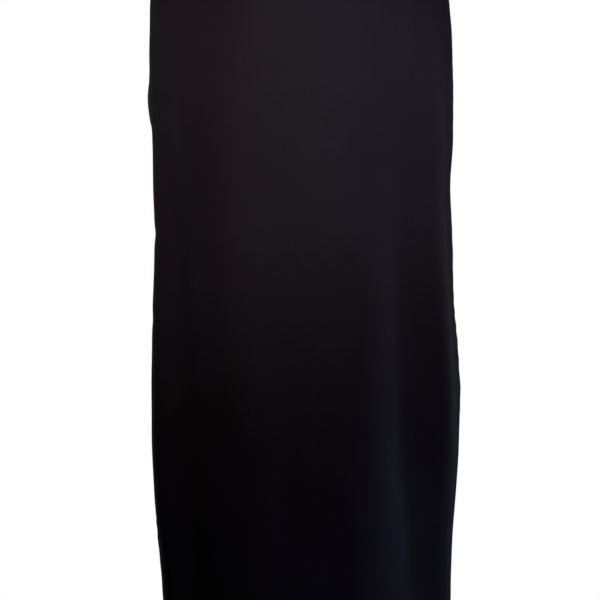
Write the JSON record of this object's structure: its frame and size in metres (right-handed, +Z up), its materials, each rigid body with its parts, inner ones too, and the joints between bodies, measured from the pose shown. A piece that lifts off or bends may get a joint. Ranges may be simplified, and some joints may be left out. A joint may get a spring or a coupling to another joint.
{
  "type": "strapless dress, filled out as worn",
  "caption": "Knee-length strapless column dress in black double-knit cloth: a hollow tube of a front and a back panel, with elastic inside the top edge, open at the top and the hem.",
  "frame": {"origin": "middle of the top opening, level with the top edge at centre front, where the wearer's bust holds the dress", "axes": "+Z up along the dress, front towards -Y, the wearer's left side seam at +X"},
  "size_m": [0.3518, 0.2389, 0.8136],
  "materials": {
    "black_double_knit": "matt smooth black double knit with a faint blue-violet cast",
    "black_elastic": "matt black woven elastic"
  },
  "bodies": {
    "root": {"front_panel": "black_double_knit", "back_panel": "black_double_knit", "top_elastic": "black_elastic"}
  },
  "joints": []
}
